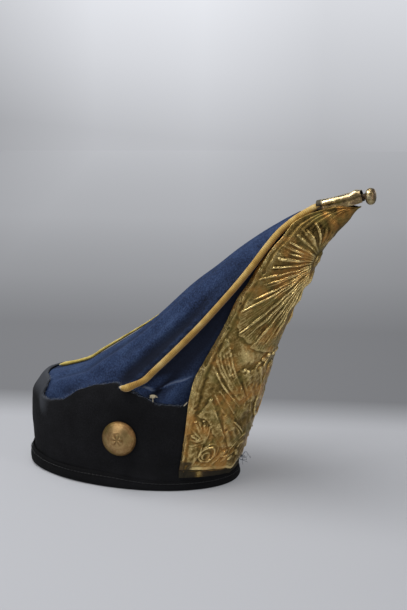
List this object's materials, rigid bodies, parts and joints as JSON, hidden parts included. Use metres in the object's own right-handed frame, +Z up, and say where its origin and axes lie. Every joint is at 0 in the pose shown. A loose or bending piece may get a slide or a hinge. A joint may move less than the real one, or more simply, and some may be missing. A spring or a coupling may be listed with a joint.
{
  "type": "mitre cap",
  "caption": "Tall mitre cap: an embossed brass front plate, a blue cloth crown with piped seams and a stiff black headband, open below for the head.",
  "frame": {"origin": "bottom centre of the whole cap's box, on the surface that the rim rests on", "axes": "+Z up, the plate faces -Y, the wearer's right is -X"},
  "size_m": [0.1392, 0.3461, 0.2891],
  "materials": {
    "black_cloth": "black wool cloth over a stiff body",
    "black_binding": "black binding, rolled round the rim and sewn",
    "blue_cloth": "napped blue wool cloth",
    "tan_cord": "tan cord, finely ribbed",
    "yellow_cord": "thin yellow cord",
    "aged_brass": "embossed sheet brass, dulled and tarnished",
    "button_brass": "stamped brass with a copper tint"
  },
  "bodies": {
    "root": {"headband": "black_cloth", "rim_binding": "black_binding", "crown": "blue_cloth", "side_piping_right": "tan_cord", "side_piping_left": "tan_cord", "back_piping": "yellow_cord", "front_plate": "aged_brass", "tip_clip": "aged_brass", "tip_knob": "aged_brass", "side_button_right": "button_brass", "side_button_left": "button_brass"}
  },
  "joints": []
}
